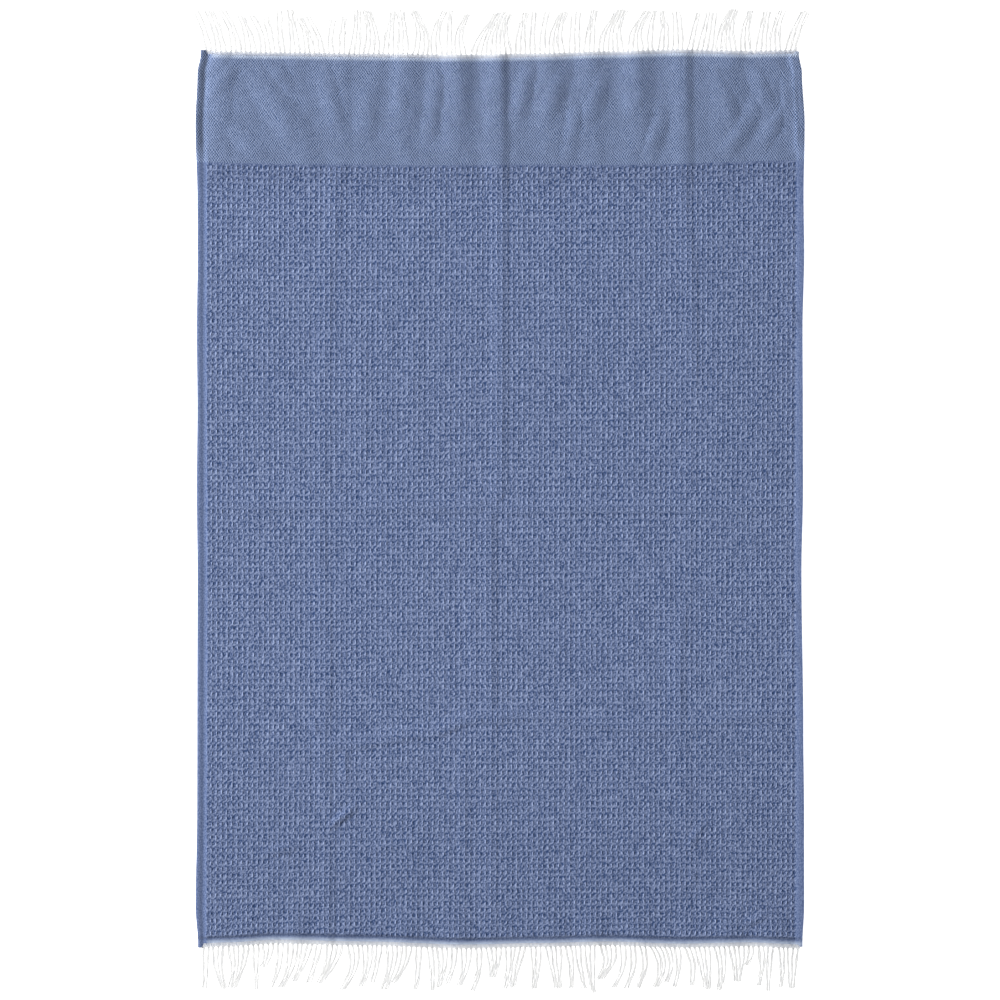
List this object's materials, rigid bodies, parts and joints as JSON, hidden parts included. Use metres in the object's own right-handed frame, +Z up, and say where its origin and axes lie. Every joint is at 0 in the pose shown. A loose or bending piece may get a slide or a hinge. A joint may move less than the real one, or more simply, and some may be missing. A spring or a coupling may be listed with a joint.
{
  "type": "hammam towel",
  "caption": "Flat waffle-weave hammam towel with a twill band at one end, plain selvedges, soft fold creases and a loose white fringe at both ends.",
  "frame": {"origin": "middle of the towel's footprint, on the surface that it lies on", "axes": "+X across the towel, +Y along it towards the end with the twill band, +Z up out of its upper side"},
  "size_m": [1.016, 1.626, 0.0052],
  "materials": {
    "cloth": "denim-blue cotton, waffle weave with a twill band, matt",
    "fringe": "off-white cotton yarn, matt"
  },
  "bodies": {
    "root": {"cloth": "cloth", "fringe_top": "fringe", "fringe_bottom": "fringe"}
  },
  "joints": []
}
